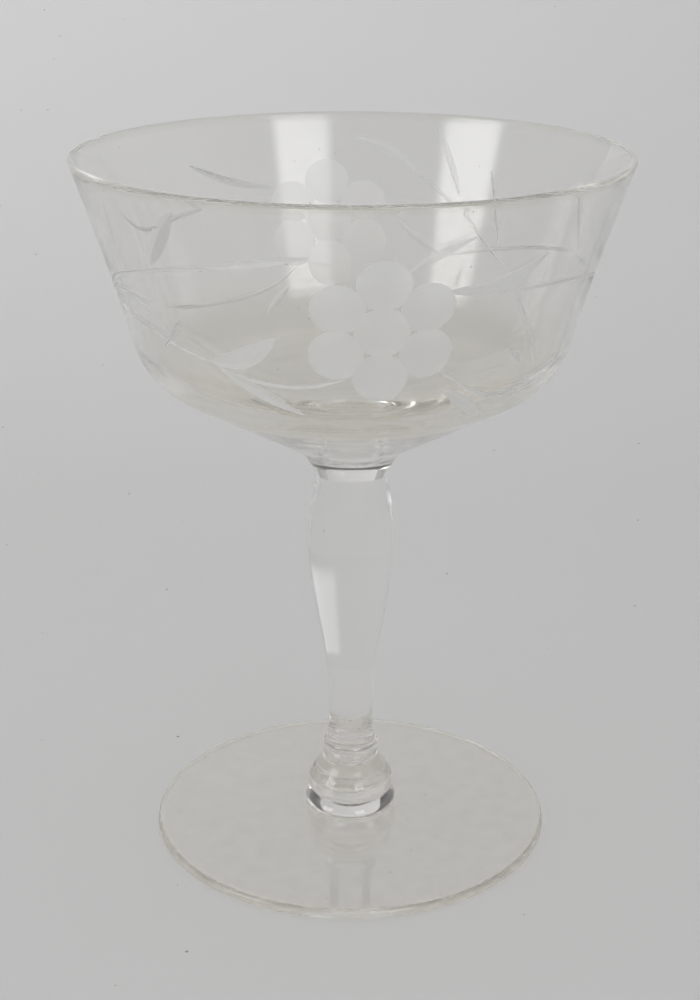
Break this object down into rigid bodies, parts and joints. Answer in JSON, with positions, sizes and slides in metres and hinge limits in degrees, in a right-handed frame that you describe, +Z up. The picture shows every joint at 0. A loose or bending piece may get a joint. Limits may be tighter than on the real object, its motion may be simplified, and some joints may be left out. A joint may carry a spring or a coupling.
{
  "type": "stemmed saucer champagne glass",
  "caption": "Clear glass champagne saucer with a flared bowl wheel-cut with grapes and leaves, on a baluster stem with a domed collar and a round foot.",
  "frame": {"origin": "centre of the plane the foot rests on", "axes": "+Z up along the axis of the stem and bowl, -Y towards the front bunch of grapes, +X to its right"},
  "size_m": [0.096, 0.096, 0.128],
  "materials": {
    "bowl_glass": "clear and polished, with grey satin wheel cuts",
    "stem_glass": "clear and fire-polished",
    "foot_glass": "clear and fire-polished"
  },
  "bodies": {
    "root": {"foot": "foot_glass", "button": "stem_glass", "merese": "stem_glass", "stem": "stem_glass", "bowl": "bowl_glass"}
  },
  "joints": []
}
